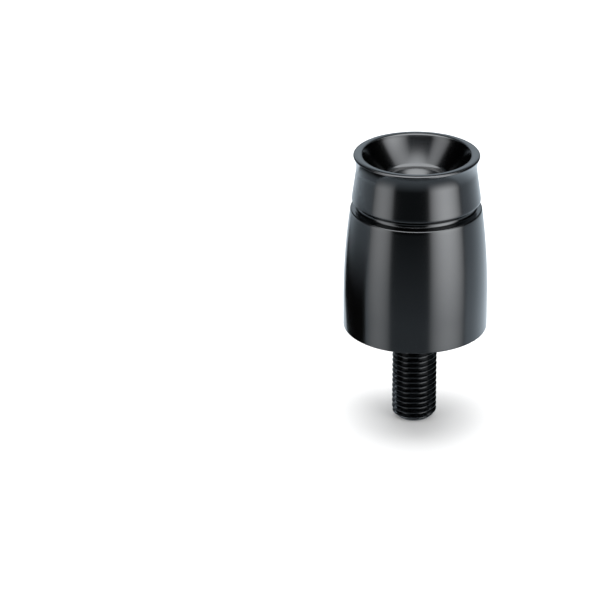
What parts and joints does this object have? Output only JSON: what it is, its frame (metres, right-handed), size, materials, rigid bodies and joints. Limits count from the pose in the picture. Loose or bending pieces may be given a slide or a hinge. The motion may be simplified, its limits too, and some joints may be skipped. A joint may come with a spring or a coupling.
{
  "type": "bar end weight",
  "caption": "Turned handlebar end weight with a threaded stud, a barrel body, a grooved nose and a dish with a hexagon key socket.",
  "frame": {"origin": "centre of the stud's end face, on the turning axis", "axes": "+Z along the turning axis, from the stud's end to the dish; two flats of the key socket face +Y and -Y"},
  "size_m": [0.032, 0.032, 0.0633],
  "materials": {
    "black_anodised": "black anodised, satin to gloss"
  },
  "bodies": {
    "root": {"bar_end_weight": "black_anodised"}
  },
  "joints": []
}
